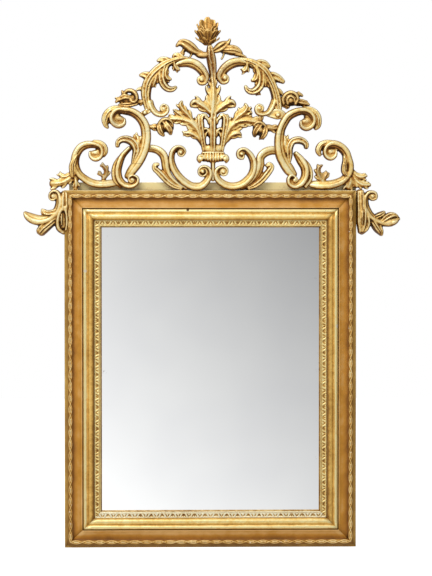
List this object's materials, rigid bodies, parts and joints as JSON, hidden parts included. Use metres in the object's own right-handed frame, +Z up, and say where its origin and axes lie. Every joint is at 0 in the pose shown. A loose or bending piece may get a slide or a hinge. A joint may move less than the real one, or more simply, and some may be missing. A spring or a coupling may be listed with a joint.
{
  "type": "overmantel mirror",
  "caption": "Tall giltwood overmantel mirror: mitred moulded frame round a mirror plate, with a pierced scroll and acanthus crest, side scrolls and hanging rings on the back.",
  "frame": {"origin": "middle of the underside of the bottom rail, on the face that rests on the mantel shelf", "axes": "+Z up, +Y towards the wall behind, +X to the right seen from the front"},
  "size_m": [1.0556, 0.0672, 1.4863],
  "materials": {
    "gilt_carving": "water gilding over red-brown bole, rubbed bright on the ridges and toned brown in the hollows",
    "gilt_board": "pale worn gilding on a flat board",
    "gilt_ribbon": "carved twisted-ribbon moulding, worn matte gilding",
    "gilt_molding": "burnished gilding on a smooth bolection moulding",
    "gilt_slip": "carved sight edge with a bead, gilt",
    "ochre_ground": "matte ochre painted cove and flat bands, pine behind",
    "silvered_glass": "flat silvered mirror plate",
    "old_pine": "unfinished aged pine boards",
    "wrought_iron": "dark forged iron with light rust"
  },
  "bodies": {
    "frame": {"rail_top": "ochre_ground", "rail_bottom": "ochre_ground", "stile_left": "ochre_ground", "stile_right": "ochre_ground", "ribbon_top": "gilt_ribbon", "ribbon_bottom": "gilt_ribbon", "ribbon_left": "gilt_ribbon", "ribbon_right": "gilt_ribbon", "molding_top": "gilt_molding", "molding_bottom": "gilt_molding", "molding_left": "gilt_molding", "molding_right": "gilt_molding", "slip_top": "gilt_slip", "slip_bottom": "gilt_slip", "slip_left": "gilt_slip", "slip_right": "gilt_slip", "mirror_plate": "silvered_glass", "backboard_left": "old_pine", "backboard_right": "old_pine", "crest_base_board": "gilt_board", "crest_strap_left": "wrought_iron", "crest_strap_right": "wrought_iron", "hanger_plate_left": "wrought_iron", "hanger_plate_right": "wrought_iron", "vase": "gilt_carving", "vase_collar": "gilt_carving", "centre_plume": "gilt_carving", "finial_flower": "gilt_carving", "tall_scroll_left": "gilt_carving", "tall_scroll_right": "gilt_carving", "loop_scroll_left": "gilt_carving", "loop_scroll_right": "gilt_carving", "hook_leaf_left": "gilt_carving", "hook_leaf_right": "gilt_carving", "end_scroll_left": "gilt_carving", "end_scroll_right": "gilt_carving", "inner_scroll_left": "gilt_carving", "inner_scroll_right": "gilt_carving", "link_scroll_left": "gilt_carving", "link_scroll_right": "gilt_carving", "vase_leaf_left": "gilt_carving", "vase_leaf_right": "gilt_carving", "pendant_flower_left": "gilt_carving", "pendant_flower_right": "gilt_carving", "arch_left": "gilt_carving", "arch_right": "gilt_carving", "arch_scroll_left": "gilt_carving", "arch_scroll_right": "gilt_carving", "strut_left": "gilt_carving", "strut_right": "gilt_carving", "rosette_spray_left": "gilt_carving", "rosette_spray_right": "gilt_carving", "top_leaf_left": "gilt_carving", "top_leaf_right": "gilt_carving", "flank_carving_left": "gilt_carving", "flank_carving_right": "gilt_carving"},
    "ring_left": {"hanging_ring_left": "wrought_iron"},
    "ring_right": {"hanging_ring_right": "wrought_iron"}
  },
  "joints": [
    {"name": "ring_swing_left", "type": "hinge", "parent": "frame", "child": "ring_left", "pos_m": [-0.369, 0.0276, 0.8], "axis": [1, 0, 0], "range_deg": [-4, 175]},
    {"name": "ring_swing_right", "type": "hinge", "parent": "frame", "child": "ring_right", "pos_m": [0.369, 0.0276, 0.8], "axis": [1, 0, 0], "range_deg": [-4, 175]}
  ]
}
